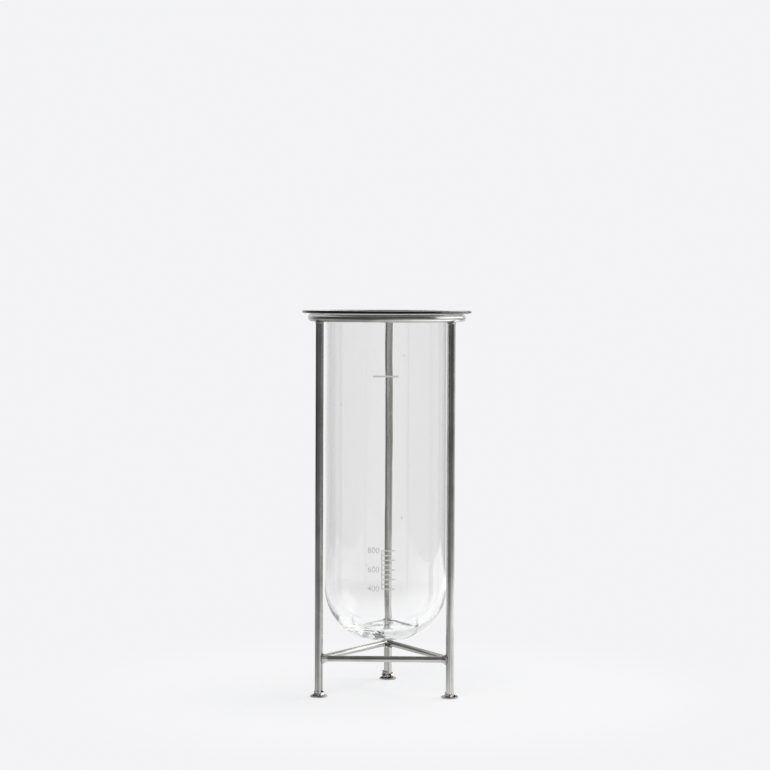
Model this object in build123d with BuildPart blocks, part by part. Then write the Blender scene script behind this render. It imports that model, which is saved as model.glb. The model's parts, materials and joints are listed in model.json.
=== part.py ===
from build123d import *
import os
from math import cos, degrees, radians, sin, tan

# Test tube vase: a clear glass tube with a flat collar, hung in a three-legged stand of welded steel rod.
# Millimetres, +Z up. The origin is on the floor, on the axis that the tube and the ring share.
# The front of the stand is -Y, with one leg at the back.

# Glass tube
tube_outer_radius = 61.0
tube_wall = 2.8
tube_length = 327.0  # from the collar's underside to the lowest point of the base
base_thickness = 8.0  # glass under the middle of the hollow
base_flat_radius = 10.0  # nearly flat middle of the base, outside
hollow_flat_radius = 14.0  # the same, inside
collar_thickness = 3.0
collar_overhang = 6.0  # past the ring's outer edge
neck_round = 5.0  # outside bend from the tube into the collar

# Stand
leg_rod_diameter = 8.0
ring_rod_diameter = 8.0
brace_rod_diameter = 6.0
brace_height = 38.0  # from the floor to the middle of the braces
ring_gap = 10.0  # from the tube to the ring, all round
base_gap = 12.0  # from the braces up to the glass
seat_clearance = 0.3  # from the ring's top to the collar
rod_end_chamfer = 0.4
ring_joint_gap = 2.0  # between the two ends of the ring's rod, filled with weld

# Foot washers
washer_diameter = 17.0
washer_bore_clearance = 0.4  # on the leg's diameter
washer_thickness = 1.6
washer_edge_round = 0.4

# Weld beads
weld_edge = 0.45  # how thick each bead still is where it runs out on a rod
brace_end_clearance = 0.1  # between the square ends of two braces at a leg
brace_weld_swell = 2.7  # how far the bead stands out from the brace, where it meets the leg
brace_weld_run = 5.0  # from the leg's surface along the brace
ring_weld_swell = 2.3  # how far the bead stands out from the ring's side
ring_weld_rise = 2.6  # up the ring's side
ring_weld_drop = 4.0  # down the leg, from the ring's underside
foot_weld_inset = 1.7  # from the washer's edge to the bead
foot_weld_height = 4.6
foot_dab_radius = 2.0  # the lumps round the foot's bead
foot_dab_offset = 1.6  # from the leg's surface to the middle of a lump
foot_dab_shares = [1.0, 0.8, 1.15, 0.9, 1.1, 0.75, 1.05]
foot_dab_lift_share = 0.45

# Legs stand evenly round the axis, and a brace joins each pair
leg_names = ["rear", "front_left", "front_right"]
first_leg_angle = 90
leg_angles = {name: first_leg_angle + 360 * i / len(leg_names) for i, name in enumerate(leg_names)}
brace_ends = {
    "front": ("front_left", "front_right"),
    "left": ("front_left", "rear"),
    "right": ("front_right", "rear"),
}
brace_half_corner = 90 * (len(leg_names) - 2) / len(leg_names)  # half the angle between braces at a leg
ring_joint_angle = 122

# Places that follow from the sizes
leg_radius = leg_rod_diameter / 2
ring_rod_radius = ring_rod_diameter / 2
brace_radius = brace_rod_diameter / 2
leg_circle = tube_outer_radius + ring_gap + ring_rod_radius
collar_radius = leg_circle + ring_rod_radius + collar_overhang
base_height = brace_height + brace_radius + base_gap
collar_underside = base_height + tube_length
collar_top = collar_underside + collar_thickness
ring_height = collar_underside - seat_clearance - ring_rod_radius
ring_underside = ring_height - ring_rod_radius
hollow_radius = tube_outer_radius - tube_wall
hollow_floor = base_height + base_thickness
base_corner = tube_outer_radius - base_flat_radius
hollow_corner = hollow_radius - hollow_flat_radius
mouth_round = neck_round + tube_wall
rim_round = collar_thickness / 2
washer_bore = leg_rod_diameter + washer_bore_clearance
brace_setback = brace_radius / tan(radians(brace_half_corner)) + brace_end_clearance
foot_dab_circle = leg_radius + foot_dab_offset


def leg_place(leg, height):
    """The point on a leg's axis at a height."""
    angle = radians(leg_angles[leg])
    return Vector(leg_circle * cos(angle), leg_circle * sin(angle), height)


def upright_plane(angle):
    """The plane that holds the vase's axis and faces that angle, with its own Y along +Z."""
    turn = radians(angle)
    return Plane(origin=(0, 0, 0), x_dir=(cos(turn), sin(turn), 0), z_dir=(sin(turn), -cos(turn), 0))


def plane_towards(leg, other):
    """The plane at brace height on one leg's axis, facing another leg, with its own X along +Z."""
    start = leg_place(leg, brace_height)
    return Plane(origin=start, x_dir=(0, 0, 1), z_dir=leg_place(other, brace_height) - start)


def write(piece, name):
    """Labels a finished piece and writes it."""
    piece.part.label = name
    export_step(piece.part, f"parts/{name}.step")


os.makedirs("parts", exist_ok=True)

# The tube, its thick round base and its collar are one turned profile, drawn from the base's middle outwards
with BuildPart() as glass_tube:
    with BuildSketch(Plane.XZ):
        with BuildLine():
            Line((0, base_height), (base_flat_radius, base_height))
            RadiusArc(
                (base_flat_radius, base_height),
                (tube_outer_radius, base_height + base_corner),
                -base_corner,
            )
            Line(
                (tube_outer_radius, base_height + base_corner),
                (tube_outer_radius, collar_underside - neck_round),
            )
            RadiusArc(
                (tube_outer_radius, collar_underside - neck_round),
                (tube_outer_radius + neck_round, collar_underside),
                neck_round,
            )
            Line(
                (tube_outer_radius + neck_round, collar_underside),
                (collar_radius - rim_round, collar_underside),
            )
            ThreePointArc(
                (collar_radius - rim_round, collar_underside),
                (collar_radius, collar_underside + rim_round),
                (collar_radius - rim_round, collar_top),
            )
            Line((collar_radius - rim_round, collar_top), (hollow_radius + mouth_round, collar_top))
            RadiusArc(
                (hollow_radius + mouth_round, collar_top),
                (hollow_radius, collar_top - mouth_round),
                -mouth_round,
            )
            Line(
                (hollow_radius, collar_top - mouth_round),
                (hollow_radius, hollow_floor + hollow_corner),
            )
            RadiusArc(
                (hollow_radius, hollow_floor + hollow_corner),
                (hollow_flat_radius, hollow_floor),
                hollow_corner,
            )
            Line((hollow_flat_radius, hollow_floor), (0, hollow_floor))
            Line((0, hollow_floor), (0, base_height))
        make_face()
    revolve(axis=Axis.Z)
write(glass_tube, "glass_tube")

# The ring is one bent rod, and its ends are closed by a butt weld ground flush
joint_turn = degrees(ring_joint_gap / leg_circle)
with BuildPart() as ring:
    with BuildSketch(upright_plane(ring_joint_angle + joint_turn / 2)):
        with Locations((leg_circle, ring_height)):
            Circle(ring_rod_radius)
    revolve(axis=Axis.Z, revolution_arc=360 - joint_turn)
write(ring, "ring")

with BuildPart() as ring_joint_weld:
    with BuildSketch(upright_plane(ring_joint_angle - joint_turn / 2)):
        with Locations((leg_circle, ring_height)):
            Circle(ring_rod_radius)
    revolve(axis=Axis.Z, revolution_arc=joint_turn)
write(ring_joint_weld, "ring_joint_weld")

# Each leg is a rod cut square under the ring, and stands in its washer's bore
legs = {}
for leg_name in leg_angles:
    with BuildPart() as leg:
        with Locations(leg_place(leg_name, 0)):
            Cylinder(leg_radius, ring_underside, align=(Align.CENTER, Align.CENTER, Align.MIN))
        chamfer(leg.edges().group_by(Axis.Z)[0], rod_end_chamfer)
    write(leg, f"leg_{leg_name}")
    legs[leg_name] = leg

# Each brace is a rod cut square, short enough at both ends to clear the next brace at the same leg
braces = {}
for brace_name, (first, last) in brace_ends.items():
    run = plane_towards(first, last)
    span = (leg_place(last, brace_height) - leg_place(first, brace_height)).length
    with BuildPart() as brace:
        with BuildSketch(run.offset(brace_setback)):
            Circle(brace_radius)
        extrude(amount=span - 2 * brace_setback)
    write(brace, f"brace_{brace_name}")
    braces[brace_name] = brace

# Washers under the legs spread the load on the floor
for leg_name in leg_angles:
    with BuildPart() as washer:
        with Locations(leg_place(leg_name, 0)):
            Cylinder(washer_diameter / 2, washer_thickness, align=(Align.CENTER, Align.CENTER, Align.MIN))
            Cylinder(
                washer_bore / 2,
                washer_thickness,
                align=(Align.CENTER, Align.CENTER, Align.MIN),
                mode=Mode.SUBTRACT,
            )
        fillet(washer.edges().group_by(Axis.Z)[-1].sort_by(SortBy.RADIUS)[-1], washer_edge_round)
    write(washer, f"foot_washer_{leg_name}")

# A weld bead closes each leg's top against the ring and wraps a little way up the ring's sides
for leg_name in leg_angles:
    with BuildPart() as ring_weld:
        with Locations(leg_place(leg_name, ring_underside - ring_weld_drop)):
            Cone(
                leg_radius + weld_edge,
                ring_rod_radius + ring_weld_swell,
                ring_weld_drop + ring_weld_rise,
                align=(Align.CENTER, Align.CENTER, Align.MIN),
            )
        add(ring.part, mode=Mode.SUBTRACT)
        add(legs[leg_name].part, mode=Mode.SUBTRACT)
    write(ring_weld, f"ring_weld_{leg_name}")

# Two braces come to each leg, and one bead fills the corner round both of their ends
for leg_name in leg_angles:
    with BuildPart() as brace_weld:
        for brace_name, ends in brace_ends.items():
            if leg_name in ends:
                other = ends[1] if ends[0] == leg_name else ends[0]
                with Locations(plane_towards(leg_name, other)):
                    Cone(
                        brace_radius + brace_weld_swell,
                        brace_radius + weld_edge,
                        leg_radius + brace_weld_run,
                        align=(Align.CENTER, Align.CENTER, Align.MIN),
                    )
        add(legs[leg_name].part, mode=Mode.SUBTRACT)
        for brace_name, ends in brace_ends.items():
            if leg_name in ends:
                add(braces[brace_name].part, mode=Mode.SUBTRACT)
    write(brace_weld, f"brace_weld_{leg_name}")

# A lumpy bead joins each leg to its washer
for leg_name, leg_angle in leg_angles.items():
    with BuildPart() as foot_weld:
        with Locations(leg_place(leg_name, washer_thickness)):
            Cone(
                washer_diameter / 2 - foot_weld_inset,
                leg_radius + weld_edge,
                foot_weld_height,
                align=(Align.CENTER, Align.CENTER, Align.MIN),
            )
            for number, share in enumerate(foot_dab_shares):
                turn = radians(leg_angle + 360 * number / len(foot_dab_shares))
                dab = foot_dab_radius * share
                with Locations(
                    (
                        foot_dab_circle * cos(turn),
                        foot_dab_circle * sin(turn),
                        dab * foot_dab_lift_share,
                    )
                ):
                    Sphere(dab)
        split(bisect_by=Plane.XY.offset(washer_thickness), keep=Keep.TOP)
        add(legs[leg_name].part, mode=Mode.SUBTRACT)
    write(foot_weld, f"foot_weld_{leg_name}")

print("leg circle radius", leg_circle, "collar radius", collar_radius)
print("ring top", ring_height + ring_rod_radius, "collar underside", collar_underside, "top", collar_top)
print("mouth radius", hollow_radius)
print("straight wall from", hollow_floor + hollow_corner, "to", collar_top - mouth_round)
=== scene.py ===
import json
import math
import random

import bmesh
import bpy
from mathutils import Matrix, Vector, noise


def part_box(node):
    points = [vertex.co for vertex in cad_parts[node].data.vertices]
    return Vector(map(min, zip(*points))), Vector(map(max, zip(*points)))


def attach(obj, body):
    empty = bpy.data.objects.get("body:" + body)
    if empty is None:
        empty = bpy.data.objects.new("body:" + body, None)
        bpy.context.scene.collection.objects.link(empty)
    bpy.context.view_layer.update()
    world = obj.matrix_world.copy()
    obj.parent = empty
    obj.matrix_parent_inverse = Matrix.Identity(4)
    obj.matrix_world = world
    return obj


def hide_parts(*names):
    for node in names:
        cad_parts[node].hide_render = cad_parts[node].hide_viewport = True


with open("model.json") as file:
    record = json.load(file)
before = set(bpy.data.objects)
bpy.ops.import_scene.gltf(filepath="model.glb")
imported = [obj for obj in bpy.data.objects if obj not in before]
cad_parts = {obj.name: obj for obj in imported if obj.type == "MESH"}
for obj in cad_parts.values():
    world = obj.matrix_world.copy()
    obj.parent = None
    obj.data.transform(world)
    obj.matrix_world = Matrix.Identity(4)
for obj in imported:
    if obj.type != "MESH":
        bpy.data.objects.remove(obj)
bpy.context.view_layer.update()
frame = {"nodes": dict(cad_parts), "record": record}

# Test tube vase: clear blown glass in a stand of bare steel rod, metres, +Z up, front at -Y
MM = 0.001

# Camera, fitted to the rod ends and feet in the 770 pixel picture
PICTURE_PX = 770
FOCAL_PX = 2398
SENSOR_MM = 36.0
CAMERA_DISTANCE = 2400 * MM
CAMERA_HEIGHT = 405 * MM
CAMERA_PITCH = 2.31  # degrees down
CAMERA_TURN = 1.9  # degrees round the vase, towards its right-hand leg
CAMERA_ROLL = 0.23  # degrees, so that uprights lean to the right
AXIS_OFFSET_PX = 1.6  # the vase's axis stands this far right of the middle
CAMERA_NEAR = 50 * MM
CAMERA_FAR = 20.0

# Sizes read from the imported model
GLASS_LOW, GLASS_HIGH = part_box("glass_tube")
LEG_LOW, LEG_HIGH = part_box("leg_rear")
BRACE_LOW, BRACE_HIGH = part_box("brace_front")
MOUTH = next(m for m in frame["record"]["mounts"] if m["name"] == "mouth")
HOLLOW_RADIUS = MOUTH["dims"]["r_mm"] * MM
LEG_RADIUS = (LEG_HIGH.x - LEG_LOW.x) / 2
LEG_CIRCLE = (LEG_LOW.y + LEG_HIGH.y) / 2
BRACE_HEIGHT = (BRACE_LOW.z + BRACE_HIGH.z) / 2
WASHER_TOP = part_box("foot_washer_rear")[1].z
LEG_ANGLES = {"front_left": 210, "front_right": 330, "rear": 90}
BRACE_ENDS = {
    "front": ("front_left", "front_right"),
    "left": ("front_left", "rear"),
    "right": ("front_right", "rear"),
}

# Glass sizes that the frame doesn't hold, as in the CAD
TUBE_WALL = 2.8 * MM
COLLAR_THICKNESS = 3.0 * MM
BASE_THICKNESS = 8.0 * MM
BASE_FLAT_RADIUS = 10.0 * MM
HOLLOW_FLAT_RADIUS = 14.0 * MM
NECK_ROUND = 5.0 * MM
TUBE_RADIUS = HOLLOW_RADIUS + TUBE_WALL
COLLAR_RADIUS = GLASS_HIGH.x
BASE_HEIGHT = GLASS_LOW.z
COLLAR_TOP = GLASS_HIGH.z
COLLAR_UNDERSIDE = COLLAR_TOP - COLLAR_THICKNESS


# Helpers for colours, nodes, meshes and places


def linear(code):
    """An sRGB hex colour as linear red, green, blue and alpha."""
    parts = [int(code[i : i + 2], 16) / 255 for i in (1, 3, 5)]
    return [p / 12.92 if p <= 0.04045 else ((p + 0.055) / 1.055) ** 2.4 for p in parts] + [1.0]


def add_node(tree, kind, inputs=None, stops=(), **settings):
    """Adds a node with its settings and its ramp's stops, and sets or links its inputs.

    An input is given by name or number, and a node given as its value links its first output.
    """
    made = tree.nodes.new(kind)
    for name, value in settings.items():
        setattr(made, name, value)
    if stops:
        ramp = made.color_ramp.elements
        for element, (position, code) in zip(ramp, (stops[0], stops[-1])):
            element.position = position
            element.color = linear(code)
        for position, code in stops[1:-1]:
            ramp.new(position).color = linear(code)
    for name, value in (inputs or {}).items():
        if isinstance(value, bpy.types.Node):
            value = value.outputs[0]
        if isinstance(value, bpy.types.NodeSocket):
            tree.links.new(value, made.inputs[name])
        else:
            made.inputs[name].default_value = value
    return made


def new_material(name):
    """An empty node material and its tree."""
    material = bpy.data.materials.new(name)
    material.use_nodes = True
    material.node_tree.nodes.clear()
    return material, material.node_tree


def dress(obj, material):
    """Gives an object this one material."""
    obj.data.materials.clear()
    obj.data.materials.append(material)


def add_object(name, mesh, material, smooth=True):
    """Links a mesh as an object with its material."""
    obj = bpy.data.objects.new(name, mesh)
    bpy.context.scene.collection.objects.link(obj)
    dress(obj, material)
    mesh.polygons.foreach_set("use_smooth", [smooth] * len(mesh.polygons))
    return obj


def mesh_from(name, grid):
    """Turns a working grid into a mesh, and frees the grid."""
    mesh = bpy.data.meshes.new(name)
    grid.to_mesh(mesh)
    grid.free()
    return mesh


def spot_round(reach, turn, height):
    """The point at this distance from an axis, this turn from +X in radians, and this height."""
    return Vector((reach * math.cos(turn), reach * math.sin(turn), height))


# Materials

ROD_ROUGHNESS = (0.15, 0.27)
BRACE_ROUGHNESS = (0.24, 0.38)
BASE_TINT = "#FFFFFF"
BASE_TINT_END = BASE_HEIGHT + 16 * MM
WALL_TINT_START = BASE_HEIGHT + 55 * MM


def bare_drawn_steel(name, along, roughness):
    """Bare drawn mild steel rod: grey with an olive cast, satin, with fine die lines along it."""
    material, tree = new_material(name)
    place = add_node(tree, "ShaderNodeTexCoord").outputs["Object"]
    # Die lines about 0.6 mm apart and 60 mm long, coarser than the real ones, so that they show
    across, length = 1 / (0.6 * MM), 1 / (60 * MM)
    if along == "ring":
        split = add_node(tree, "ShaderNodeSeparateXYZ", {"Vector": place}).outputs
        flat = add_node(tree, "ShaderNodeCombineXYZ", {"X": split["X"], "Y": split["Y"]})
        radius = add_node(
            tree, "ShaderNodeVectorMath", {0: flat}, operation="LENGTH"
        ).outputs["Value"]
        angle = add_node(
            tree, "ShaderNodeMath", {0: split["Y"], 1: split["X"]}, operation="ARCTAN2"
        )
        run = add_node(tree, "ShaderNodeMath", {0: angle, 1: LEG_CIRCLE}, operation="MULTIPLY")
        lined_up = add_node(tree, "ShaderNodeCombineXYZ", {"X": radius, "Y": split["Z"], "Z": run})
    else:
        turn = Vector(along).to_track_quat("Z", "Y").inverted().to_euler()
        lined_up = add_node(tree, "ShaderNodeMapping", {"Vector": place, "Rotation": list(turn)})
    stretched = add_node(
        tree, "ShaderNodeMapping", {"Vector": lined_up, "Scale": (across, across, length)}
    )
    lines = add_node(
        tree,
        "ShaderNodeTexNoise",
        {"Vector": stretched, "Scale": 1.0, "Detail": 3.0, "Roughness": 0.6},
    )
    # Drawing streaks about 1.5 mm wide and 110 mm long, and cloudy mill stain about 25 mm across
    drawn_out = add_node(
        tree,
        "ShaderNodeMapping",
        {"Vector": lined_up, "Scale": (1 / (1.5 * MM), 1 / (1.5 * MM), 1 / (110 * MM))},
    )
    streaks = add_node(
        tree,
        "ShaderNodeTexNoise",
        {"Vector": drawn_out, "Scale": 1.0, "Detail": 2.0, "Roughness": 0.5},
    )
    stain = add_node(
        tree,
        "ShaderNodeTexNoise",
        {"Vector": lined_up, "Scale": 1 / (25 * MM), "Detail": 3.0, "Roughness": 0.5},
    )
    tone = add_node(tree, "ShaderNodeMix", {0: 0.3, 2: streaks, 3: stain}, data_type="FLOAT")
    stops = ((0.36, "#94948F"), (0.64, "#CDCDCA"))
    colour = add_node(tree, "ShaderNodeValToRGB", {"Fac": tone}, stops)
    rough = add_node(
        tree,
        "ShaderNodeMapRange",
        {"Value": lines, "To Min": roughness[0], "To Max": roughness[1]},
    )
    bump = add_node(
        tree, "ShaderNodeBump", {"Height": lines, "Strength": 0.25, "Distance": 0.05 * MM}
    )
    shader = add_node(
        tree,
        "ShaderNodeBsdfPrincipled",
        {"Base Color": colour, "Metallic": 1.0, "Roughness": rough, "Normal": bump},
    )
    add_node(tree, "ShaderNodeOutputMaterial", {"Surface": shader})
    return material


def as_laid_weld_steel(name, scale, heat_brown):
    """As-laid weld metal: dark scale with brown and straw heat colours, and bright bare crests."""
    material, tree = new_material(name)
    place = add_node(tree, "ShaderNodeTexCoord").outputs["Object"]
    # Heat colours change every 2.5 mm or so
    heat = add_node(
        tree,
        "ShaderNodeTexNoise",
        {"Vector": place, "Scale": 1 / (2.5 * MM), "Detail": 3.0, "Roughness": 0.6},
    )
    stops = ((0.33, scale), (0.42, heat_brown), (0.56, "#E2E0DC"))
    colour = add_node(tree, "ShaderNodeValToRGB", {"Fac": heat}, stops)
    # Scale and ripples about 0.5 mm across
    grain = add_node(
        tree,
        "ShaderNodeTexNoise",
        {"Vector": place, "Scale": 1 / (0.5 * MM), "Detail": 3.0, "Roughness": 0.6},
    )
    rough = add_node(tree, "ShaderNodeMapRange", {"Value": heat, "To Min": 0.32, "To Max": 0.18})
    bump = add_node(
        tree, "ShaderNodeBump", {"Height": grain, "Strength": 0.3, "Distance": 0.12 * MM}
    )
    shader = add_node(
        tree,
        "ShaderNodeBsdfPrincipled",
        {"Base Color": colour, "Metallic": 1.0, "Roughness": rough, "Normal": bump},
    )
    add_node(tree, "ShaderNodeOutputMaterial", {"Surface": shader})
    return material


def brushed_weld_steel(name, heat_tint, bare, roughness):
    """A fillet weld cleaned with a wire brush: smooth, rod grey, with a faint pink heat tint."""
    material, tree = new_material(name)
    place = add_node(tree, "ShaderNodeTexCoord").outputs["Object"]
    # Heat tint in patches about 6 mm across
    tint = add_node(
        tree,
        "ShaderNodeTexNoise",
        {"Vector": place, "Scale": 1 / (6 * MM), "Detail": 3.0, "Roughness": 0.5},
    )
    stops = ((0.35, heat_tint), (0.65, bare))
    colour = add_node(tree, "ShaderNodeValToRGB", {"Fac": tint}, stops)
    # Brush marks and low ripples about 0.9 mm apart
    ripples = add_node(
        tree, "ShaderNodeTexNoise", {"Vector": place, "Scale": 1 / (0.9 * MM), "Detail": 2.0}
    )
    rough = add_node(
        tree,
        "ShaderNodeMapRange",
        {"Value": ripples, "To Min": roughness[0], "To Max": roughness[1]},
    )
    bump = add_node(
        tree, "ShaderNodeBump", {"Height": ripples, "Strength": 0.25, "Distance": 0.1 * MM}
    )
    shader = add_node(
        tree,
        "ShaderNodeBsdfPrincipled",
        {"Base Color": colour, "Metallic": 1.0, "Roughness": rough, "Normal": bump},
    )
    add_node(tree, "ShaderNodeOutputMaterial", {"Surface": shader})
    return material


def weld_spatter_steel(name):
    """Drops of spatter: small beads of steel under blue-black oxide, glossy all round."""
    material, tree = new_material(name)
    place = add_node(tree, "ShaderNodeTexCoord").outputs["Object"]
    # Oxide in specks about 0.7 mm across
    oxide = add_node(
        tree, "ShaderNodeTexNoise", {"Vector": place, "Scale": 1 / (0.7 * MM), "Detail": 2.0}
    )
    stops = ((0.4, "#161413"), (0.75, "#3E3935"))
    colour = add_node(tree, "ShaderNodeValToRGB", {"Fac": oxide}, stops)
    rough = add_node(tree, "ShaderNodeMapRange", {"Value": oxide, "To Min": 0.2, "To Max": 0.36})
    shader = add_node(
        tree,
        "ShaderNodeBsdfPrincipled",
        {"Base Color": colour, "Metallic": 1.0, "Roughness": rough},
    )
    add_node(tree, "ShaderNodeOutputMaterial", {"Surface": shader})
    return material


def punched_washer_steel(name):
    """Punched mild steel washer, dulled and browned by the heat of the weld."""
    material, tree = new_material(name)
    place = add_node(tree, "ShaderNodeTexCoord").outputs["Object"]
    # Heat stain in patches about 5 mm across
    stain = add_node(
        tree,
        "ShaderNodeTexNoise",
        {"Vector": place, "Scale": 1 / (5 * MM), "Detail": 4.0, "Roughness": 0.6},
    )
    stops = ((0.3, "#86827C"), (0.7, "#BDBBB6"))
    colour = add_node(tree, "ShaderNodeValToRGB", {"Fac": stain}, stops)
    rough = add_node(tree, "ShaderNodeMapRange", {"Value": stain, "To Min": 0.42, "To Max": 0.26})
    grain = add_node(
        tree, "ShaderNodeTexNoise", {"Vector": place, "Scale": 1 / (0.4 * MM), "Detail": 2.0}
    )
    bump = add_node(
        tree, "ShaderNodeBump", {"Height": grain, "Strength": 0.2, "Distance": 0.05 * MM}
    )
    shader = add_node(
        tree,
        "ShaderNodeBsdfPrincipled",
        {"Base Color": colour, "Metallic": 1.0, "Roughness": rough, "Normal": bump},
    )
    add_node(tree, "ShaderNodeOutputMaterial", {"Surface": shader})
    return material


def blown_glass(name, tint):
    """Blown soda-lime glass: clear, faintly green where thick, smooth with slow draw waves. Given
    a near-black tint instead, it paints shade into the glass, as on the collar's rim.
    """
    material, tree = new_material(name)
    place = add_node(tree, "ShaderNodeTexCoord").outputs["Object"]
    # Draw waves about 12 mm across and 90 mm long
    stretched = add_node(
        tree,
        "ShaderNodeMapping",
        {"Vector": place, "Scale": (1 / (12 * MM), 1 / (12 * MM), 1 / (90 * MM))},
    )
    waves = add_node(
        tree,
        "ShaderNodeTexNoise",
        {"Vector": stretched, "Scale": 1.0, "Detail": 2.0, "Roughness": 0.4},
    )
    bump = add_node(
        tree, "ShaderNodeBump", {"Height": waves, "Strength": 0.3, "Distance": 0.25 * MM}
    )
    rough = add_node(tree, "ShaderNodeMapRange", {"Value": waves, "To Min": 0.0, "To Max": 0.012})
    # The blown wall has a faint grey cast, and the solid base has none; a near-black tint, as on
    # the collar's rim, is painted shade
    height = add_node(tree, "ShaderNodeSeparateXYZ", {"Vector": place}).outputs["Z"]
    rise = add_node(
        tree,
        "ShaderNodeMapRange",
        {"Value": height, "From Min": BASE_TINT_END, "From Max": WALL_TINT_START},
        interpolation_type="SMOOTHSTEP",
    )
    cast = add_node(
        tree, "ShaderNodeMix", {0: rise, 6: linear(BASE_TINT), 7: linear(tint)}, data_type="RGBA"
    )
    glass = add_node(
        tree,
        "ShaderNodeBsdfPrincipled",
        {
            "Base Color": cast.outputs[2],
            "Roughness": rough,
            "IOR": 1.52,
            "Transmission Weight": 1.0,
            "Normal": bump,
        },
    )
    # Lamps shine through, as they do through real glass
    path = add_node(tree, "ShaderNodeLightPath").outputs
    through = add_node(
        tree,
        "ShaderNodeMath",
        {0: path["Is Shadow Ray"], 1: path["Is Diffuse Ray"]},
        operation="MAXIMUM",
    )
    clear = add_node(tree, "ShaderNodeBsdfTransparent", {"Color": linear("#F2F5F3")})
    both = add_node(tree, "ShaderNodeMixShader", {0: through, 1: glass, 2: clear})
    body = add_node(
        tree, "ShaderNodeVolumeAbsorption", {"Color": linear("#D6DDD3"), "Density": 6.0}
    )
    add_node(tree, "ShaderNodeOutputMaterial", {"Surface": both, "Volume": body})
    return material


def fired_enamel(name):
    """White enamel screen printed and fired on the glass: matt, slightly thin in places."""
    material, tree = new_material(name)
    place = add_node(tree, "ShaderNodeTexCoord").outputs["Object"]
    # Print grain about 0.3 mm across, coarser than the real grain, so that it shows
    grain = add_node(
        tree, "ShaderNodeTexNoise", {"Vector": place, "Scale": 1 / (0.3 * MM), "Detail": 2.0}
    )
    stops = ((0.3, "#CFCFCC"), (0.7, "#DEDEDA"))
    colour = add_node(tree, "ShaderNodeValToRGB", {"Fac": grain}, stops)
    rough = add_node(tree, "ShaderNodeMapRange", {"Value": grain, "To Min": 0.45, "To Max": 0.6})
    shader = add_node(tree, "ShaderNodeBsdfPrincipled", {"Base Color": colour, "Roughness": rough})
    add_node(tree, "ShaderNodeOutputMaterial", {"Surface": shader})
    return material


# Glass tube

TURNS = 256  # points round the tube
BEND_STEPS = 18
BASE_STEPS = 72
WALL_STEP = 5 * MM
WAVE_DEPTH = 0.16 * MM
WAVE_ROUND = 45 * MM  # draw waves, round the tube
WAVE_LONG = 130 * MM  # and along it
WAVE_FADE = 30 * MM  # the wall's waves set in over this height at both ends
WAVES_START = BASE_HEIGHT + 25 * MM  # the base's waves end here
WAVES_END = COLLAR_UNDERSIDE - 2 * NECK_ROUND
BASE_WAVE_DEPTH = 0.36 * MM
BASE_WAVE_SIZE = 17 * MM
BASE_WAVE_FADE = 15 * MM
BASE_CALM_RADIUS = 24 * MM  # the waves die down from here to the middle
WRINKLE_DEPTH = 0.16 * MM  # chill wrinkles where the gather first touched the mould
WRINKLE_PITCH = 4.5 * MM
WRINKLE_TURN = math.radians(228)  # the middle of the wrinkled patch, from +X
WRINKLE_SPREAD = math.radians(26)
WRINKLE_SLANT = 3
WRINKLE_WANDER = 1.5
INNER_WAVES = 50  # takes the inner wall's waves from elsewhere in the noise
PAINTED_DARK_RIM_WIDTH = 0.7 * MM  # the middle of the collar's round edge; out from here the rim is painted near black, as the shade where caught light can't leave it
GLASS_DRAWS = 5  # starts the random draws
# Seeds in the wall and in the base, whose ranges of width and reach are in millimetres
WALL_SEED_COUNT = 16
WALL_SEED_HEIGHT = (0.12, 0.35)
WALL_SEED_WIDTH = (0.4, 0.9)
WALL_SEED_STRETCH = (1.2, 2.4)
BASE_SEED_COUNT = 14
BASE_SEED_REACH = (4, 30)
BASE_SEED_WIDTH = (0.5, 1.3)
BASE_SEED_DEPTH = 5 * MM
SHOWN_SEED_DEPTH = 4 * MM
# The seeds in the base that show: turn from +X in degrees, share of the tube's radius, width
SHOWN_SEEDS = (
    (238, 0.62, 0.9 * MM),
    (226, 0.72, 0.8 * MM),
    (251, 0.5, 1.1 * MM),
    (244, 0.44, 1.3 * MM),
    (256, 0.4, 0.8 * MM),
    (262, 0.3, 0.7 * MM),
)


def arc_points(centre, radius, first, last, steps):
    """Points on an arc in the radius and height plane, between two angles in degrees."""
    turns = [math.radians(first + (last - first) * i / steps) for i in range(steps + 1)]
    return [(centre[0] + radius * math.cos(t), centre[1] + radius * math.sin(t)) for t in turns]


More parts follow.
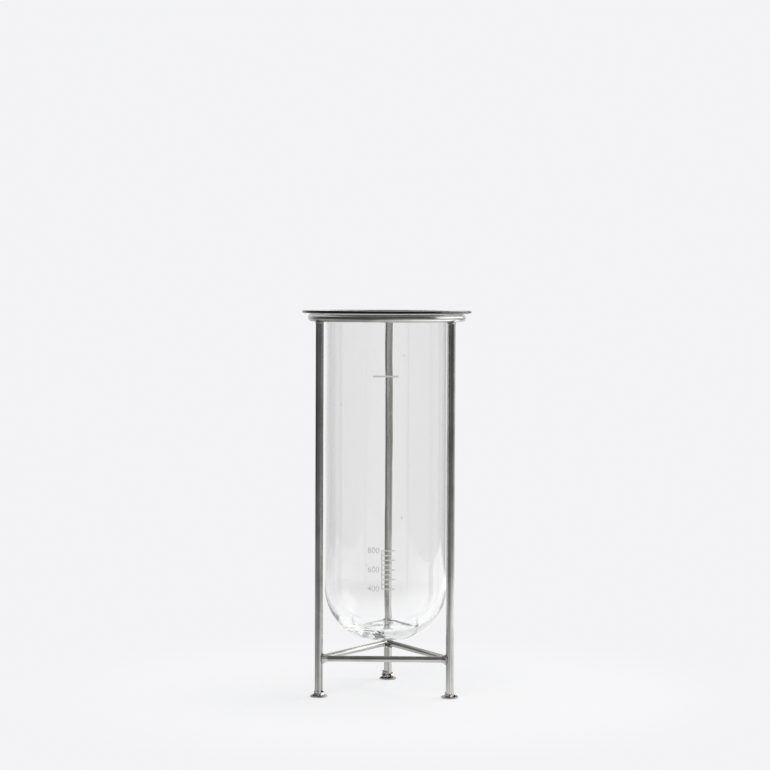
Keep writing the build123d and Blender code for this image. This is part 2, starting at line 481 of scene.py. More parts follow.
def glass_profile():
    """The tube's section: from the base's middle up outside, over the rim and down inside."""
    base_corner = TUBE_RADIUS - BASE_FLAT_RADIUS
    hollow_floor = BASE_HEIGHT + BASE_THICKNESS
    hollow_corner = HOLLOW_RADIUS - HOLLOW_FLAT_RADIUS
    rim = COLLAR_THICKNESS / 2
    mouth_round = NECK_ROUND + TUBE_WALL
    rows = [(0, BASE_HEIGHT), (BASE_FLAT_RADIUS / 2, BASE_HEIGHT)]
    low, high = BASE_HEIGHT + base_corner, COLLAR_UNDERSIDE - NECK_ROUND
    rows += arc_points((BASE_FLAT_RADIUS, low), base_corner, -90, 0, BASE_STEPS)
    count = round((high - low) / WALL_STEP)
    rows += [(TUBE_RADIUS, low + (high - low) * i / count) for i in range(1, count)]
    rows += arc_points((TUBE_RADIUS + NECK_ROUND, high), NECK_ROUND, 180, 90, BEND_STEPS)
    flat = COLLAR_RADIUS - rim - TUBE_RADIUS - NECK_ROUND
    rows += [(TUBE_RADIUS + NECK_ROUND + flat * i / 4, COLLAR_UNDERSIDE) for i in range(1, 4)]
    rows += arc_points((COLLAR_RADIUS - rim, COLLAR_UNDERSIDE + rim), rim, -90, 90, BEND_STEPS)
    flat = COLLAR_RADIUS - rim - HOLLOW_RADIUS - mouth_round
    rows += [(COLLAR_RADIUS - rim - flat * i / 4, COLLAR_TOP) for i in range(1, 4)]
    rows += arc_points(
        (HOLLOW_RADIUS + mouth_round, COLLAR_TOP - mouth_round), mouth_round, 90, 180, BEND_STEPS
    )
    low, high = hollow_floor + hollow_corner, COLLAR_TOP - mouth_round
    rows += [(HOLLOW_RADIUS, high + (low - high) * i / count) for i in range(1, count)]
    rows += arc_points((HOLLOW_FLAT_RADIUS, low), hollow_corner, 0, -90, BASE_STEPS)
    rows += [(HOLLOW_FLAT_RADIUS / 2, hollow_floor), (0, hollow_floor)]
    return rows


def lathe(rows, wave):
    """Turns a section that starts and ends on the axis.

    wave(row, angle, radius, height) says how far a point moves out.
    """
    grid = bmesh.new()
    rings = []
    for number, (radius, height) in enumerate(rows):
        if radius == 0:
            rings.append([grid.verts.new((0, 0, height))])
            continue
        ring = []
        for step in range(TURNS):
            turn = 2 * math.pi * step / TURNS
            out = radius + wave(number, turn, radius, height)
            ring.append(grid.verts.new(spot_round(out, turn, height)))
        rings.append(ring)
    for low, high in zip(rings, rings[1:]):
        for step in range(TURNS):
            after = (step + 1) % TURNS
            corners = [low[step % len(low)], low[after % len(low)]]
            corners += [high[after % len(high)], high[step % len(high)]]
            grid.faces.new(list(dict.fromkeys(corners)))
    return grid


def add_seed(grid, place, width, length):
    """A closed air bubble inside the glass, drawn out along the tube."""
    shape = Matrix.Translation(place) @ Matrix.Diagonal((width / 2, width / 2, length / 2, 1))
    made = bmesh.ops.create_icosphere(grid, subdivisions=3, radius=1, matrix=shape)
    faces = {face for vert in made["verts"] for face in vert.link_faces}
    bmesh.ops.reverse_faces(grid, faces=list(faces))


def glass_piece(material, painted_dark_rim_material):
    """The blown tube with its collar, slow draw waves in both walls, and a few seeds."""
    rows = glass_profile()
    rim_row = max(range(len(rows)), key=lambda i: rows[i][0])

    def wave(number, turn, radius, height):
        inside = INNER_WAVES if number > rim_row else 0
        spot = spot_round(radius, turn, 0)
        if height < WAVES_START:
            edge = min(1, radius / BASE_CALM_RADIUS)
            edge *= min(1, (WAVES_START - height) / BASE_WAVE_FADE)
            place = spot + Vector((0, 0, height))
            out = BASE_WAVE_DEPTH * noise.noise(place / BASE_WAVE_SIZE + Vector((inside, 0, 7)))
            off = (turn - WRINKLE_TURN) / WRINKLE_SPREAD
            patch = math.exp(-off * off)
            swirl = noise.noise(place / BASE_WAVE_SIZE + Vector((0, 30, inside)))
            phase = height / WRINKLE_PITCH + turn * WRINKLE_SLANT + WRINKLE_WANDER * swirl
            return edge * (out + WRINKLE_DEPTH * patch * math.sin(2 * math.pi * phase))
        if height > WAVES_END:
            return 0
        fade = min(1, (height - WAVES_START) / WAVE_FADE, (WAVES_END - height) / WAVE_FADE)
        around = spot / WAVE_ROUND
        return WAVE_DEPTH * fade * noise.noise(around + Vector((inside, 0, height / WAVE_LONG)))

    grid = lathe(rows, wave)
    draws = random.Random(GLASS_DRAWS)
    mid_wall = HOLLOW_RADIUS + TUBE_WALL / 2
    for _ in range(WALL_SEED_COUNT):
        turn = draws.uniform(0, 2 * math.pi)
        spot = spot_round(mid_wall, turn, draws.uniform(*WALL_SEED_HEIGHT))
        width = draws.uniform(*WALL_SEED_WIDTH) * MM
        add_seed(grid, spot, width, width * draws.uniform(*WALL_SEED_STRETCH))
    for _ in range(BASE_SEED_COUNT):
        turn = draws.uniform(0, 2 * math.pi)
        reach = draws.uniform(*BASE_SEED_REACH) * MM
        width = draws.uniform(*BASE_SEED_WIDTH) * MM
        add_seed(grid, spot_round(reach, turn, BASE_HEIGHT + BASE_SEED_DEPTH), width, width)
    for turn, share, width in SHOWN_SEEDS:
        reach = share * TUBE_RADIUS
        surface = BASE_HEIGHT + TUBE_RADIUS - math.sqrt(TUBE_RADIUS**2 - reach**2)
        spot = spot_round(reach, math.radians(turn), surface + SHOWN_SEED_DEPTH)
        add_seed(grid, spot, width, width)
    mesh = mesh_from("blown_tube", grid)
    piece = add_object("blown_tube", mesh, material)
    # The collar's round rim gets the near-black glass, which is painted shade
    mesh.materials.append(painted_dark_rim_material)
    for face in mesh.polygons:
        if math.hypot(face.center.x, face.center.y) > COLLAR_RADIUS - PAINTED_DARK_RIM_WIDTH:
            face.material_index = 1
    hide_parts("glass_tube")
    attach(piece, "glass")
    return piece


# Weld beads

WELD_VOXEL = 0.28 * MM
WELD_RELAX = 0.5
# How uneven a row of ripples is at a wobble of 1, as shares of its step, size and reach
RIPPLE_STEP = 0.25
RIPPLE_SIZE = 0.2
RIPPLE_REACH = 0.08
RIPPLE_RISE = 0.3  # millimetres


def leg_spot(leg, height):
    """The point on a leg's axis at a height."""
    return spot_round(LEG_CIRCLE, math.radians(LEG_ANGLES[leg]), height)


def melt(name, blobs, relaxing, floor=None):
    """One skin round overlapping balls (centre, radius), fused by a fine remesh, then relaxed."""
    grid = bmesh.new()
    for centre, radius in blobs:
        bmesh.ops.create_icosphere(
            grid, subdivisions=3, radius=radius, matrix=Matrix.Translation(centre)
        )
    if floor is not None:
        for vert in grid.verts:
            vert.co.z = max(vert.co.z, floor)
    mesh = mesh_from(name, grid)
    obj = bpy.data.objects.new(name, mesh)
    bpy.context.scene.collection.objects.link(obj)
    fuse = obj.modifiers.new("fuse", "REMESH")
    fuse.mode = "VOXEL"
    fuse.voxel_size = WELD_VOXEL
    relax = obj.modifiers.new("relax", "SMOOTH")
    relax.factor = WELD_RELAX
    relax.iterations = relaxing
    made = obj.evaluated_get(bpy.context.evaluated_depsgraph_get())
    fused = bpy.data.meshes.new_from_object(made)
    bpy.data.objects.remove(obj)
    bpy.data.meshes.remove(mesh)
    fused.name = name
    return fused


def weld_piece(name, node, mesh, material):
    """A melted bead that stands for its CAD node on the stand."""
    piece = add_object(name, mesh, material)
    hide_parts(node)
    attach(piece, "stand")
    return piece


def row_of_blobs(centre, direction, circle, size, count, draws, wobble, shift, across=None):
    """Balls laid round a rod like the ripples of a bead, a little uneven.

    across is half the row's level width, where that differs from its height.
    """
    turn = direction.to_track_quat("Z", "Y")
    blobs = []
    for number in range(count):
        step = number + wobble * draws.uniform(-RIPPLE_STEP, RIPPLE_STEP)
        angle = 2 * math.pi * step / count
        ball = size * (1 + wobble * draws.uniform(-RIPPLE_SIZE, RIPPLE_SIZE))
        reach = circle * (1 + wobble * draws.uniform(-RIPPLE_REACH, RIPPLE_REACH))
        rise = shift + wobble * draws.uniform(-RIPPLE_RISE, RIPPLE_RISE) * MM
        flat = (across - size) / circle if across else 1
        spot = Vector((flat * reach * math.cos(angle), reach * math.sin(angle), rise))
        blobs.append((centre + turn @ spot, ball))
    return blobs


FOOT_BEAD_ROWS = (  # past the leg's surface, height over the washer, ball, count
    (0.1 * MM, 0.3 * MM, 1.2 * MM, 13),
    (-0.2 * MM, 1.4 * MM, 0.95 * MM, 12),
    (-0.45 * MM, 2.5 * MM, 0.8 * MM, 11),
)
FOOT_DRAWS = 11  # starts the random draws, as the next two do for the other beads
RING_DRAWS = 31
BRACE_DRAWS = {"front_left": 21, "front_right": 22, "rear": 23}
FOOT_LUMPS = {"front_left": 7, "front_right": 8, "rear": 20}
FOOT_LUMP_SHARES = {"front_left": 1.0, "front_right": 1.0, "rear": 1.35}
FOOT_SWELL = {"front_left": 0.0, "front_right": 0.0, "rear": 1.5 * MM}  # the rear one is heaviest
FOOT_LEAN = {"front_left": 195, "front_right": 250, "rear": 200}  # where the bead spreads widest
FOOT_LEAN_COUNT = 4
FOOT_LEAN_STEP = 0.3  # radians
FOOT_LEAN_RISE = 0.2 * MM
# Ranges in millimetres: past the leg's surface, the balls' radius, and how high the lumps stand
FOOT_LEAN_REACH = (0.9, 1.6)
FOOT_LEAN_BALL = (0.9, 1.2)
FOOT_LUMP_REACH = (0.1, 1.3)
FOOT_LUMP_BALL = (0.65, 0.95)
FOOT_LUMP_RISE = (0.6, 3.0)
FOOT_LUMP_PILE = 0.2  # each lump of a bead lets them stand this much higher
FOOT_TAPER = 7  # lumps stay nearer to the leg the higher they are, towards this height
FOOT_TAPER_LEAST = 0.3
FOOT_WOBBLE = 0.6
FOOT_RELAXING = 2
FOOT_SPATTER = {  # turn from +X, past the leg's surface, height over the washer, radius
    "front_left": ((-33, 0.6 * MM, 3.9 * MM, 1.05 * MM),),
    "front_right": ((-20, 1.4 * MM, 0.8 * MM, 0.95 * MM), (-2, 2.6 * MM, 0.4 * MM, 0.6 * MM)),
    "rear": (
        (205, 2.9 * MM, 0.6 * MM, 0.85 * MM),
        (-62, 1.6 * MM, 0.8 * MM, 0.9 * MM),
        (231, 0.7 * MM, 3.6 * MM, 0.85 * MM),
        (300, 0.7 * MM, 3.4 * MM, 0.9 * MM),
        (256, 0.4 * MM, 5.8 * MM, 0.75 * MM),
    ),
}
SPATTER_SINK = 0.2 * MM  # how far the drops on the feet melt into the washer
DROP_SHAPE = (1, 1.15, 0.92, 1)  # a ball, a little wide and flat
DENT_SIZE = 1.2 * MM
DENT_DEPTH = 0.1 * MM
JOINT_SPATTER = (  # the same, over the middle of the braces, at the rear leg
    (260, 4.8 * MM, -1.0 * MM, 1.1 * MM),
    (284, 5.4 * MM, -1.2 * MM, 1.15 * MM),
    (271, 3.3 * MM, -2.8 * MM, 0.9 * MM),
)


def foot_weld(leg, material, seed):
    """The bead between a leg and its washer: a flared fillet with a few rough lumps in it."""
    draws = random.Random(seed)
    centre = leg_spot(leg, WASHER_TOP)
    up = Vector((0, 0, 1))
    blobs = []
    for past, height, ball, count in FOOT_BEAD_ROWS:
        circle = LEG_RADIUS + past + FOOT_SWELL[leg] / 2
        rise = height + FOOT_SWELL[leg]
        blobs += row_of_blobs(centre, up, circle, ball, count, draws, FOOT_WOBBLE, rise)
    lean = math.radians(FOOT_LEAN[leg])
    for number in range(FOOT_LEAN_COUNT):
        turn = lean + FOOT_LEAN_STEP * (number - (FOOT_LEAN_COUNT - 1) / 2)
        reach = LEG_RADIUS + draws.uniform(*FOOT_LEAN_REACH) * MM
        spot = centre + spot_round(reach, turn, FOOT_LEAN_RISE)
        blobs.append((spot, draws.uniform(*FOOT_LEAN_BALL) * MM))
    lowest, highest = FOOT_LUMP_RISE
    for _ in range(FOOT_LUMPS[leg]):
        turn = draws.uniform(0, 2 * math.pi)
        rise = draws.uniform(lowest, highest + FOOT_LUMP_PILE * FOOT_LUMPS[leg])
        taper = max(FOOT_TAPER_LEAST, 1 - rise / FOOT_TAPER)
        past = draws.uniform(*FOOT_LUMP_REACH) * taper * MM
        reach = LEG_RADIUS + FOOT_SWELL[leg] / 2 + past
        spot = centre + spot_round(reach, turn, rise * MM)
        blobs.append((spot, draws.uniform(*FOOT_LUMP_BALL) * FOOT_LUMP_SHARES[leg] * MM))
    mesh = melt(f"foot_bead_{leg}", blobs, FOOT_RELAXING, WASHER_TOP)
    return weld_piece(mesh.name, f"foot_weld_{leg}", mesh, material)


def spatter(name, centre, drops, lowest, material):
    """The drops of spatter that stuck near a leg: turn, past the leg's surface, height, radius."""
    grid = bmesh.new()
    for turn, past, height, radius in drops:
        around = math.radians(turn)
        shape = (
            Matrix.Translation(centre + spot_round(LEG_RADIUS + past, around, height))
            @ Matrix.Rotation(around, 4, "Z")
            @ Matrix.Diagonal(DROP_SHAPE)
        )
        bmesh.ops.create_icosphere(grid, subdivisions=3, radius=radius, matrix=shape)
    for vert in grid.verts:
        dent = noise.noise(vert.co / DENT_SIZE)
        vert.co.z = max(vert.co.z + DENT_DEPTH * dent, lowest)
    piece = add_object(name, mesh_from(name, grid), material)
    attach(piece, "stand")
    return piece


BRACE_BEAD_ROWS = (  # past the leg's surface along the brace, half height, half width, ball, count
    (-0.2 * MM, 5.8 * MM, 4.9 * MM, 1.1 * MM, 16),
    (0.8 * MM, 4.9 * MM, 4.6 * MM, 1.1 * MM, 16),
    (1.9 * MM, 4.2 * MM, 4.2 * MM, 1.1 * MM, 14),
    (3.2 * MM, 3.65 * MM, 3.65 * MM, 1.0 * MM, 14),
    (4.4 * MM, 3.3 * MM, 3.3 * MM, 0.9 * MM, 14),
)


def brace_weld(leg, material, wobble, relaxing):
    """The bead that fills the corner where two braces meet a leg."""
    draws = random.Random(BRACE_DRAWS[leg])
    centre = leg_spot(leg, BRACE_HEIGHT)
    blobs = []
    for ends in BRACE_ENDS.values():
        if leg not in ends:
            continue
        other = ends[1] if ends[0] == leg else ends[0]
        run = (leg_spot(other, BRACE_HEIGHT) - centre).normalized()
        for past, half_height, half_width, ball, count in BRACE_BEAD_ROWS:
            middle = centre + run * (LEG_RADIUS + past)
            circle = half_height - ball
            blobs += row_of_blobs(middle, run, circle, ball, count, draws, wobble, 0, half_width)
            blobs.append((middle, half_width - ball))
    mesh = melt(f"brace_bead_{leg}", blobs, relaxing)
    return weld_piece(mesh.name, f"brace_weld_{leg}", mesh, material)


RING_BEAD_ROWS = (  # over the ring's underside, the bead's outside radius, ball, count
    (0.8 * MM, 4.45 * MM, 1.2 * MM, 16),
    (-0.2 * MM, 4.45 * MM, 1.1 * MM, 16),
    (-1.3 * MM, 4.25 * MM, 1.0 * MM, 16),
    (-2.4 * MM, 4.1 * MM, 0.9 * MM, 16),
)
RING_WOBBLE = 0.25
RING_RELAXING = 16


def ring_weld(leg, material, seed):
    """The smooth fillet between a leg's top and the ring."""
    draws = random.Random(seed)
    top = leg_spot(leg, LEG_HIGH.z)
    up = Vector((0, 0, 1))
    blobs = []
    for height, outside, ball, count in RING_BEAD_ROWS:
        blobs += row_of_blobs(top, up, outside - ball, ball, count, draws, RING_WOBBLE, height)
    mesh = melt(f"ring_bead_{leg}", blobs, RING_RELAXING)
    return weld_piece(mesh.name, f"ring_weld_{leg}", mesh, material)


# Printed scale

PRINT_LIFT = 0.06 * MM
PRINT_TURN = -4.0  # degrees from the front, the middle of the print
FILL_LINE_HEIGHT = 318.0 * MM
FILL_LINE_WIDTH = 25.4 * MM
FILL_LINE_OFFSET = 5.4 * MM  # right of the print's middle
FILL_LINE_THICK = 1.8 * MM
TICK_THICK = 1.2 * MM
TICK_LEFT = 2.8 * MM  # right of the print's middle
LONG_TICK = 12.5 * MM
SHORT_TICK = 8.5 * MM
BAR_STEP = 1.5 * MM  # bars are divided this finely, so that they follow the tube
SCALE_LOW = 0.4  # litres
SCALE_STEP = 0.05
SCALE_COUNT = 9
LITRE = 1e-3  # cubic metres
NUMBERED = (0.4, 0.6, 0.8)  # litres
NUMBER_SIZE = 8 * MM
NUMBER_SWELL = 0.03 * MM  # makes the strokes a little bolder


def height_holding(volume):
    """The height that this volume of water reaches in the tube."""
    corner = HOLLOW_RADIUS - HOLLOW_FLAT_RADIUS
    floor = BASE_HEIGHT + BASE_THICKNESS
    flat = HOLLOW_FLAT_RADIUS
    bowl = math.pi * (flat**2 * corner + math.pi / 2 * flat * corner**2 + 2 / 3 * corner**3)
    return floor + corner + (volume - bowl) / (math.pi * HOLLOW_RADIUS**2)


def wrap_on_tube(mesh, height):
    """Bends a flat print round the front of the tube: X runs round, and Y up from the height."""
    reach = TUBE_RADIUS + PRINT_LIFT
    for vert in mesh.vertices:
        turn = vert.co.x / TUBE_RADIUS + math.radians(PRINT_TURN)
        out = reach + vert.co.z
        vert.co = Vector((out * math.sin(turn), -out * math.cos(turn), height + vert.co.y))


def add_bar(grid, left, right, low, high):
    """A flat printed bar, divided so that it can follow the tube."""
    steps = max(2, round((right - left) / BAR_STEP))
    for number in range(steps):
        a = left + (right - left) * number / steps
        b = left + (right - left) * (number + 1) / steps
        corners = [(a, low), (b, low), (b, high), (a, high)]
        grid.faces.new([grid.verts.new((x, y, 0)) for x, y in corners])
    bmesh.ops.remove_doubles(grid, verts=grid.verts, dist=0.01 * MM)


def print_piece(name, mesh, height, material):
    """Wraps a print on the tube and lets it lift with the glass."""
    wrap_on_tube(mesh, height)
    piece = add_object(name, mesh, material, smooth=False)
    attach(piece, "glass")
    return piece


def fill_line(material):
    """The plain line that marks how far to fill."""
    grid = bmesh.new()
    half = FILL_LINE_WIDTH / 2
    add_bar(grid, FILL_LINE_OFFSET - half, FILL_LINE_OFFSET + half, 0, FILL_LINE_THICK)
    return print_piece("fill_line", mesh_from("fill_line", grid), FILL_LINE_HEIGHT, material)


def scale_ticks(material):
    """A tick for every 50 millilitres, longer at each 100, with an upright line beside them."""
    grid = bmesh.new()
    lowest = height_holding(SCALE_LOW * LITRE)
    for step in range(SCALE_COUNT):
        height = height_holding((SCALE_LOW + SCALE_STEP * step) * LITRE) - lowest
        right = TICK_LEFT + (LONG_TICK if step % 2 == 0 else SHORT_TICK)
        add_bar(grid, TICK_LEFT, right, height - TICK_THICK / 2, height + TICK_THICK / 2)
    top = height_holding((SCALE_LOW + SCALE_STEP * (SCALE_COUNT - 1)) * LITRE) - lowest
    add_bar(grid, TICK_LEFT - TICK_THICK, TICK_LEFT, -TICK_THICK / 2, top + TICK_THICK / 2)
    return print_piece("scale_ticks", mesh_from("scale_ticks", grid), lowest, material)


def scale_number(litres, material):
    """A plain number of millilitres beside its tick."""
    label = str(round(litres * 1000))
    words = bpy.data.curves.new(f"number_{label}", "FONT")
    words.body = label
    words.size = NUMBER_SIZE
    words.offset = NUMBER_SWELL
    words.align_x = "RIGHT"
    words.align_y = "CENTER"
    holder = bpy.data.objects.new(f"number_{label}", words)
    bpy.context.scene.collection.objects.link(holder)
    made = holder.evaluated_get(bpy.context.evaluated_depsgraph_get())
    mesh = bpy.data.meshes.new_from_object(made)
    bpy.data.objects.remove(holder)
    mesh.name = f"scale_number_{label}"
    return print_piece(f"scale_number_{label}", mesh, height_holding(litres * LITRE), material)


# Stage, lights and camera

BACKGROUND = "#F3F3F5"
FLOOR_LEFT = -1.2
FLOOR_RIGHT = 1.2
FLOOR_FRONT = -1.6
FLOOR_BACK = 0.9
SHADOW_SHARE = 0.4  # how much of the floor near the vase is lit paper, which holds the shadows
SHADOW_LEVEL = 1.16  # the glow there, which makes up for the paper
SHADOW_FADE = (0.1, 0.4)  # how far from the middle the paper starts to give way, and is gone
# How bright the table is: along X or Y, from, to, factor there and there. Glass shows the first
# two, dimmer in front and a little brighter at the back. Metal shows all, dimmer still in front
# and bright towards the window.
FLOOR_FACTORS = (
    ("Y", -1.0, -0.05, 0.75, 1.0),
    ("Y", 0.1, 0.9, 1.16, 1.04),
    ("Y", -1.0, -0.05, 0.4, 1.0),
    ("X", -0.25, 0.5, 0.55, 1.75),
)
FACTORS_IN_GLASS = 2

# The room by the compass, degrees from the back towards the right: a pale sweep behind,
# a bright side at the right, and a dim room at the left and in front
ROOM_ROUND = (
    (-180, "#70706F"),
    (-153, "#767675"),
    (-138, "#626261"),
    (-100, "#505050"),
    (-62, "#606060"),
    (-44, "#A9A9A9"),
    (-32, "#E6E6E8"),
    (15, "#F3F3F5"),
    (24, "#C4C4C4"),
    (65, "#D8D8D8"),
    (93, "#A8A8A7"),
    (109, "#8C8C8B"),
    (125, "#7A7A79"),
    (140, "#717170"),
    (180, "#70706F"),
)
# Glass shows the white walls at both sides of the sweep and in front too
ROOM_THROUGH_GLASS = (
    (-180, "#EAEAEC"),
    (-150, "#EAEAEC"),
    (-128, "#F0F0F2"),
    (-36, "#EEEEF0"),
    (-25, "#D4D4D6"),
    (-12, "#F3F3F5"),
    (-6, "#FDFDFF"),
    (10, "#F7F7F9"),
    (24, "#C2C2C3"),
    (86, "#989898"),
    (120, "#9C9C9C"),
    (180, "#EAEAEC"),
)
# The same over the horizon, where the front is dim
HORIZON_BLEND = 5  # degrees
ROOM_HIGH_THROUGH_GLASS = (
    (-180, "#70706F"),
    (-150, "#707070"),
    (-128, "#F3F3F5"),
    (16, "#F9F9FB"),
    (25, "#A0A0A0"),
    (88, "#808080"),
    (180, "#70706F"),
)
# A tall window behind on the right, by the compass and by its height over the horizon, in degrees
WINDOW_COMPASS = (31, 98)
WINDOW_UP = (4, 42)
WINDOW_SOFT = 2
WINDOW_ON_METAL = 3.6
WINDOW_IN_GLASS = 1.45
CEILING = "#808080"
CEILING_IN_GLASS = "#949496"
CEILING_BLEND = (32, 50)  # degrees up

LAMPS = (  # name, place, target, width, height, radiance
    ("window", (1.7, 1.06, 1.15), (0, 0, 1.15), 2.7, 1.6, 2.0),
    ("overhead", (-0.4, -0.9, 2.2), (0, 0, 0.2), 1.6, 1.6, 1.0),
    ("front_fill", (-0.5, -2.2, 1.1), (0, 0, 0.2), 1.6, 1.6, 2.6),
)
ALL_BOUNCES = 72
GLASS_BOUNCES = 48
SHARP_ANGLE = 35  # degrees, from which a rod's edge is drawn sharp


def pale_floor():
    """A pale table top that keeps soft shadows round the feet and melts into the background."""
    material, tree = new_material("pale_floor")
    place = add_node(tree, "ShaderNodeTexCoord").outputs["Object"]
    away = add_node(tree, "ShaderNodeVectorMath", {0: place}, operation="LENGTH").outputs["Value"]
    split = add_node(tree, "ShaderNodeSeparateXYZ", {"Vector": place}).outputs
    path = add_node(tree, "ShaderNodeLightPath").outputs
    # Lit paper near the vase holds the shadows, and the glow there makes up for what it takes
    outwards = {"Value": away, "From Min": SHADOW_FADE[0], "From Max": SHADOW_FADE[1]}
    near = add_node(
        tree,
        "ShaderNodeMapRange",
        outwards | {"To Min": SHADOW_SHARE, "To Max": 0.0},
        interpolation_type="SMOOTHSTEP",
    )
    level = add_node(
        tree,
        "ShaderNodeMapRange",
        outwards | {"To Min": SHADOW_LEVEL, "To Max": 1.0},
        interpolation_type="SMOOTHSTEP",
    )
    shown = add_node(
        tree, "ShaderNodeMath", {0: near, 1: path["Is Camera Ray"]}, operation="MULTIPLY"
    )
    running = 1.0
    strengths = []
    for axis, start, end, at_start, at_end in FLOOR_FACTORS:
        ends = {"From Min": start, "From Max": end, "To Min": at_start, "To Max": at_end}
        part = add_node(tree, "ShaderNodeMapRange", {"Value": split[axis]} | ends)
        running = add_node(tree, "ShaderNodeMath", {0: running, 1: part}, operation="MULTIPLY")
        strengths.append(running)
    in_glass = strengths[FACTORS_IN_GLASS - 1]
    in_room = add_node(
        tree,
        "ShaderNodeMix",
        {0: path["Is Transmission Ray"], 2: strengths[-1], 3: in_glass},
        data_type="FLOAT",
    )
    strength = add_node(
        tree, "ShaderNodeMix", {0: path["Is Camera Ray"], 2: in_room, 3: level}, data_type="FLOAT"
    )
    paper = add_node(tree, "ShaderNodeBsdfDiffuse", {"Color": linear("#FFFFFF")})
    glow = add_node(
        tree, "ShaderNodeEmission", {"Color": linear(BACKGROUND), "Strength": strength}
    )
    both = add_node(tree, "ShaderNodeMixShader", {0: shown, 1: glow, 2: paper})
    add_node(tree, "ShaderNodeOutputMaterial", {"Surface": both})
    mesh = bpy.data.meshes.new("floor")
    corners = [
        (FLOOR_LEFT, FLOOR_FRONT, 0),
        (FLOOR_RIGHT, FLOOR_FRONT, 0),
        (FLOOR_RIGHT, FLOOR_BACK, 0),
        (FLOOR_LEFT, FLOOR_BACK, 0),
    ]
    mesh.from_pydata(corners, [], [(0, 1, 2, 3)])
    floor = add_object("floor", mesh, material, smooth=False)
    return floor


def studio_world():
    """The room that metal and glass show, behind a plain pale background for the camera."""
    world = bpy.data.worlds.new("studio")
    world.use_nodes = True
    tree = world.node_tree
    tree.nodes.clear()
    bpy.context.scene.world = world
    direction = add_node(tree, "ShaderNodeTexCoord").outputs["Generated"]
    split = add_node(tree, "ShaderNodeSeparateXYZ", {"Vector": direction}).outputs
    path = add_node(tree, "ShaderNodeLightPath").outputs
    compass = add_node(tree, "ShaderNodeMath", {0: split["X"], 1: split["Y"]}, operation="ARCTAN2")
    up = add_node(tree, "ShaderNodeMath", {0: split["Z"]}, operation="ARCSINE")
    turn = add_node(
        tree, "ShaderNodeMapRange", {"Value": compass, "From Min": -math.pi, "From Max": math.pi}
    )
    walls = []
    for room_colours in (ROOM_ROUND, ROOM_THROUGH_GLASS, ROOM_HIGH_THROUGH_GLASS):
        stops = [((angle + 180) / 360, code) for angle, code in room_colours]
        walls.append(add_node(tree, "ShaderNodeValToRGB", {"Fac": turn}, stops))
    over_horizon = add_node(
        tree,
        "ShaderNodeMapRange",
        {"Value": up, "From Min": 0.0, "From Max": math.radians(HORIZON_BLEND)},
    )
    through = add_node(
        tree, "ShaderNodeMix", {0: over_horizon, 6: walls[1], 7: walls[2]}, data_type="RGBA"
    )
    sides = add_node(
        tree,
        "ShaderNodeMix",
        {0: path["Is Transmission Ray"], 6: walls[0], 7: through.outputs[2]},
        data_type="RGBA",
    )
    ceiling_low, ceiling_high = (math.radians(angle) for angle in CEILING_BLEND)
    high = add_node(
        tree,
        "ShaderNodeMapRange",
        {"Value": up, "From Min": ceiling_low, "From Max": ceiling_high},
        interpolation_type="SMOOTHSTEP",
    )
    ceiling = add_node(
        tree,
        "ShaderNodeMix",
        {0: path["Is Transmission Ray"], 6: linear(CEILING), 7: linear(CEILING_IN_GLASS)},
        data_type="RGBA",
    )
    room = add_node(
        tree,
        "ShaderNodeMix",
        {0: high, 6: sides.outputs[2], 7: ceiling.outputs[2]},
        data_type="RGBA",
    )
    # The window, within its four soft edges
    inside = 1.0
    for angle, edges in ((compass, WINDOW_COMPASS), (up, WINDOW_UP)):
        for edge, inward in zip(edges, (1, -1)):
            ends = {
                "Value": angle,
                "From Min": math.radians(edge - inward * WINDOW_SOFT),
                "From Max": math.radians(edge + inward * WINDOW_SOFT),
            }
            side = add_node(tree, "ShaderNodeMapRange", ends, interpolation_type="SMOOTHSTEP")
            both = {0: inside, 1: side}
            inside = add_node(tree, "ShaderNodeMath", both, operation="MULTIPLY")
    on_metal = add_node(
        tree,
        "ShaderNodeMath",
        {0: path["Is Glossy Ray"], 1: path["Is Transmission Ray"]},
        operation="SUBTRACT",
        use_clamp=True,
    )
    pane = add_node(
        tree,
        "ShaderNodeMix",
        {0: on_metal, 2: WINDOW_IN_GLASS, 3: WINDOW_ON_METAL},
        data_type="FLOAT",
    )
    lit_room = add_node(
        tree, "ShaderNodeMix", {0: inside, 6: room.outputs[2], 7: pane}, data_type="RGBA"
    )
    pale = add_node(tree, "ShaderNodeBackground", {"Color": linear(BACKGROUND), "Strength": 1.0})
    dim = add_node(tree, "ShaderNodeBackground", {"Color": lit_room.outputs[2], "Strength": 1.0})
    shown = add_node(tree, "ShaderNodeMixShader", {0: path["Is Camera Ray"], 1: dim, 2: pale})
    add_node(tree, "ShaderNodeOutputWorld", {"Surface": shown})


def soft_light(name, place, target, width, height, radiance):
    """A soft rectangular light of this radiance that faces a point.

    Gloss and glass don't show it, because they show the room.
    """
    lamp = bpy.data.lights.new(name, "AREA")
    lamp.shape = "RECTANGLE"
    lamp.size = width
    lamp.size_y = height
    lamp.energy = radiance * math.pi * width * height
    obj = bpy.data.objects.new(name, lamp)
    bpy.context.scene.collection.objects.link(obj)
    obj.location = place
    obj.rotation_euler = (Vector(target) - Vector(place)).to_track_quat("-Z", "Y").to_euler()
    obj.visible_camera = False
    obj.visible_glossy = False
    obj.visible_transmission = False
    return obj


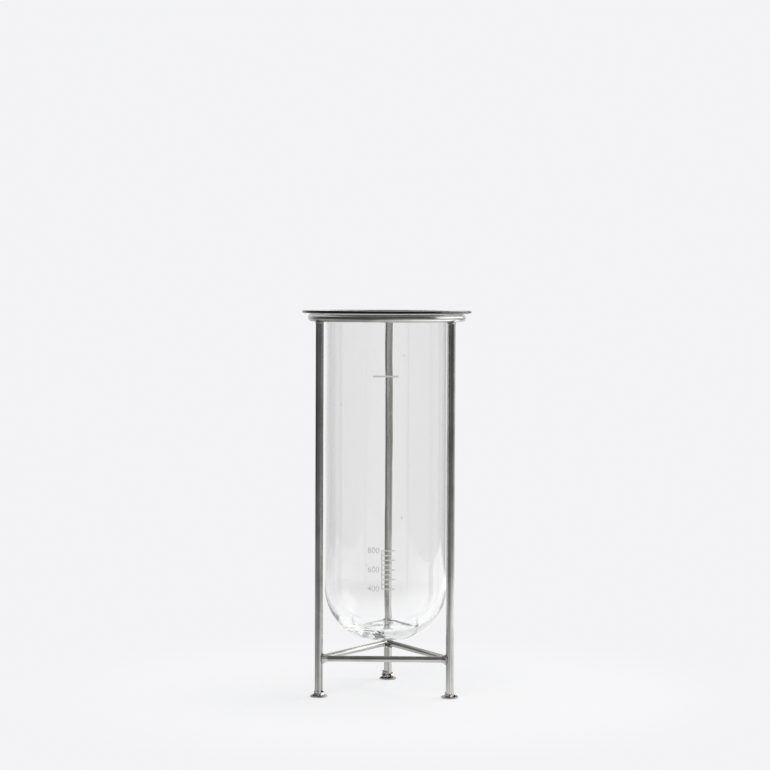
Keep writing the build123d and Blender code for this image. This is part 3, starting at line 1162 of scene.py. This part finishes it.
def add_camera():
    """The photograph's viewpoint, turned a little round the vase and a little off level."""
    lens = bpy.data.cameras.new("camera")
    lens.sensor_width = SENSOR_MM
    lens.lens = SENSOR_MM * FOCAL_PX / PICTURE_PX
    lens.clip_start = CAMERA_NEAR
    lens.clip_end = CAMERA_FAR
    camera = bpy.data.objects.new("camera", lens)
    bpy.context.scene.collection.objects.link(camera)
    turn = Matrix.Rotation(math.radians(CAMERA_TURN), 4, "Z")
    aside = -AXIS_OFFSET_PX / FOCAL_PX * CAMERA_DISTANCE
    camera.matrix_world = (
        turn
        @ Matrix.Translation((aside, -CAMERA_DISTANCE, CAMERA_HEIGHT))
        @ Matrix.Rotation(math.radians(90 - CAMERA_PITCH), 4, "X")
        @ Matrix.Rotation(math.radians(CAMERA_ROLL), 4, "Z")
    )
    bpy.context.scene.camera = camera


bpy.context.scene.view_settings.view_transform = "Standard"
add_camera()
studio_world()
pale_floor()
for lamp_place in LAMPS:
    soft_light(*lamp_place)

# Light runs many times to and fro inside thick glass before it comes out
bpy.context.scene.cycles.max_bounces = ALL_BOUNCES
bpy.context.scene.cycles.glossy_bounces = GLASS_BOUNCES
bpy.context.scene.cycles.transmission_bounces = GLASS_BOUNCES

# Rods
nodes = frame["nodes"]
ring_material = bare_drawn_steel("drawn_steel_ring", "ring", ROD_ROUGHNESS)
upright_material = bare_drawn_steel("drawn_steel_upright", (0, 0, 1), ROD_ROUGHNESS)
for leg_name in LEG_ANGLES:
    dress(nodes[f"leg_{leg_name}"], upright_material)
for brace_name, (first, last) in BRACE_ENDS.items():
    run = leg_spot(last, 0) - leg_spot(first, 0)
    brace_material = bare_drawn_steel(f"drawn_steel_brace_{brace_name}", run, BRACE_ROUGHNESS)
    dress(nodes[f"brace_{brace_name}"], brace_material)
dress(nodes["ring"], ring_material)
dress(nodes["ring_joint_weld"], ring_material)
for node_name, node in nodes.items():
    if node_name != "glass_tube":
        node.data.polygons.foreach_set("use_smooth", [True] * len(node.data.polygons))
        node.data.set_sharp_from_angle(angle=math.radians(SHARP_ANGLE))

# Washers and welds
washer_material = punched_washer_steel("punched_washer_steel")
rough_weld_material = as_laid_weld_steel("as_laid_weld_steel", "#5E5754", "#B3A69F")
heavy_weld_material = as_laid_weld_steel("heavy_scaled_weld_steel", "#2A2421", "#8C756A")
smooth_weld_material = brushed_weld_steel(
    "brushed_weld_steel", "#8F8A86", "#C6C4C0", (0.24, 0.38)
)
# A lighter, rougher copy of the brushed weld steel: painted light, for the front-left joint whose
# fillet faces the window
painted_lit_weld_material = brushed_weld_steel(
    "brushed_weld_steel_painted_lit", "#BDBAB6", "#E2E0DD", (0.42, 0.55)
)
spatter_material = weld_spatter_steel("weld_spatter_steel")
for number, leg_name in enumerate(LEG_ANGLES):
    dress(nodes[f"foot_washer_{leg_name}"], washer_material)
    foot_material = heavy_weld_material if leg_name == "rear" else rough_weld_material
    foot_weld(leg_name, foot_material, FOOT_DRAWS + number)
    spatter(
        f"foot_spatter_{leg_name}",
        leg_spot(leg_name, WASHER_TOP),
        FOOT_SPATTER[leg_name],
        WASHER_TOP - SPATTER_SINK,
        spatter_material,
    )
    ring_weld(leg_name, smooth_weld_material, RING_DRAWS + number)
# The front brace welds are brushed smooth, and the rear one is as it was laid. The front-left one
# gets a lighter copy of the brushed weld, with the window's light painted into its colour
brace_weld("front_left", painted_lit_weld_material, wobble=0.12, relaxing=22)
brace_weld("front_right", smooth_weld_material, wobble=0.12, relaxing=22)
brace_weld("rear", heavy_weld_material, wobble=1.3, relaxing=3)
spatter(
    "joint_spatter_rear",
    leg_spot("rear", BRACE_HEIGHT),
    JOINT_SPATTER,
    WASHER_TOP,
    spatter_material,
)

# Glass and its print
# Seen edge on, light that is caught inside the collar leaves its rim nearly black, and the rim's
# glass gets a near-black tint that paints this shade in
glass_piece(
    blown_glass("blown_soda_lime_glass", "#F7F7F6"),
    blown_glass("painted_dark_rim_glass", "#161A18"),
)
enamel = fired_enamel("fired_white_enamel")
fill_line(enamel)
scale_ticks(enamel)
for litres in NUMBERED:
    scale_number(litres, enamel)
